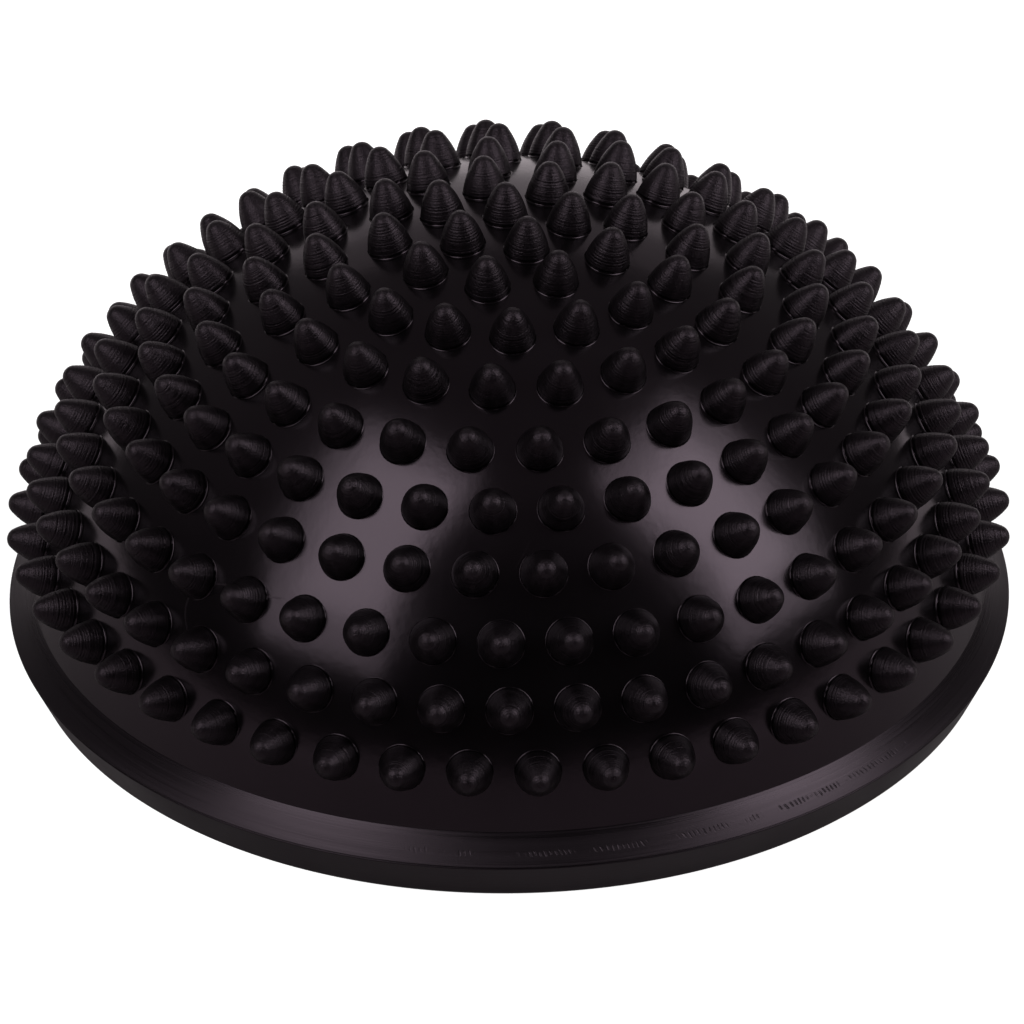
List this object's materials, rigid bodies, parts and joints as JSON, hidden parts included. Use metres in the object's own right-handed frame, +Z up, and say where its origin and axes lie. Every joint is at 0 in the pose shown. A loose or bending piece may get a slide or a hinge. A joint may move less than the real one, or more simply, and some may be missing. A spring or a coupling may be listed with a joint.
{
  "type": "wobble cushion",
  "caption": "Air-filled half-ball balance cushion with rings of short blunt spikes over the dome, a bevelled brim and a flat grooved underside with a needle valve.",
  "frame": {"origin": "centre of the underside, on the floor plane", "axes": "+Z up through the top of the dome, the axis of the round object; the plug's finger tab points along +X"},
  "size_m": [0.16, 0.16, 0.0784],
  "materials": {
    "dome_pvc": "satin to glossy moulded black PVC",
    "base_pvc": "satin moulded black PVC",
    "bond": "cured adhesive",
    "cup_plastic": "matt",
    "core_rubber": "matt",
    "plug_plastic": "satin"
  },
  "bodies": {
    "cushion": {"dome_shell": "dome_pvc", "base_plate": "base_pvc", "rim_bond": "bond", "valve_cup": "cup_plastic", "valve_core": "core_rubber"},
    "plug": {"valve_plug": "plug_plastic"}
  },
  "joints": [
    {"name": "plug_pull", "type": "slide", "parent": "cushion", "child": "plug", "axis": [0, 0, -1], "range_m": [0, 0.015]}
  ]
}
